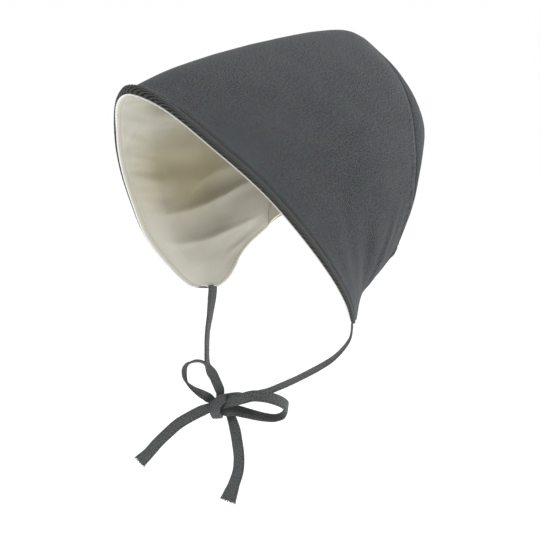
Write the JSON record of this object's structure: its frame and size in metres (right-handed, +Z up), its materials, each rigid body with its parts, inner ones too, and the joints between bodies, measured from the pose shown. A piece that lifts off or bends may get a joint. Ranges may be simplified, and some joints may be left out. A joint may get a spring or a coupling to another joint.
{
  "type": "baby sunbonnet",
  "caption": "Two-layer cloth sunbonnet with a pointed brim, ear flaps, a domed back panel, a pale lining and flat ties knotted in a bow.",
  "frame": {"origin": "the head seat, on the underside of the lining at the top of the crown, straight over the middle of the wearer's head", "axes": "+X to the wearer's left, +Y to the back of the head, +Z up; the face opening looks along -Y"},
  "size_m": [0.1498, 0.1947, 0.277],
  "materials": {
    "twill_outer": "matt charcoal cotton twill",
    "sateen_lining": "soft cream cotton sateen",
    "twill_tie": "matt charcoal cotton twill, folded and stitched along one edge"
  },
  "bodies": {
    "root": {"outer_main": "twill_outer", "outer_back": "twill_outer", "lining_main": "sateen_lining", "lining_back": "sateen_lining", "tie_right": "twill_tie", "tie_left": "twill_tie"}
  },
  "joints": []
}
